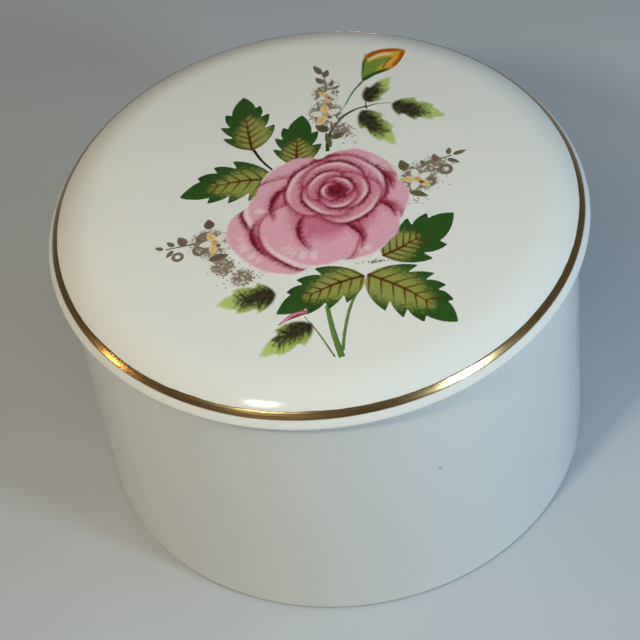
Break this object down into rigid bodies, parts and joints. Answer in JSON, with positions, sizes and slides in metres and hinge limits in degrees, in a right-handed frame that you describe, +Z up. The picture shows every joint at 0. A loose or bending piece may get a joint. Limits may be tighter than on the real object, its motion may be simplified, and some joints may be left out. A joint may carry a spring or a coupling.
{
  "type": "trinket box",
  "caption": "Round white porcelain trinket box: a straight-sided cup and a domed lift-off lid with a gilt band and a printed rose spray.",
  "frame": {"origin": "the middle of the foot ring, on the surface that the box stands on", "axes": "+Z up along the box's axis, -Y towards the front, where the rose spray stands upright for the viewer, +X to that viewer's right"},
  "size_m": [0.08, 0.08, 0.0518],
  "materials": {
    "glazed_porcelain": "clear high gloss glaze over white bone china; the foot ring is left unglazed",
    "gilding": "burnished liquid-bright gold, fired on, slightly rubbed",
    "printed_enamel": "glossy on-glaze ceramic print in pinks, greens, greys and amber"
  },
  "bodies": {
    "base": {"porcelain_base": "glazed_porcelain"},
    "lid": {"porcelain_lid": "glazed_porcelain", "gilt_band": "gilding", "rose_transfer": "printed_enamel"}
  },
  "joints": [
    {"name": "lid_lift", "type": "slide", "parent": "base", "child": "lid", "axis": [0, 0, 1], "range_m": [0, 0.06]}
  ]
}
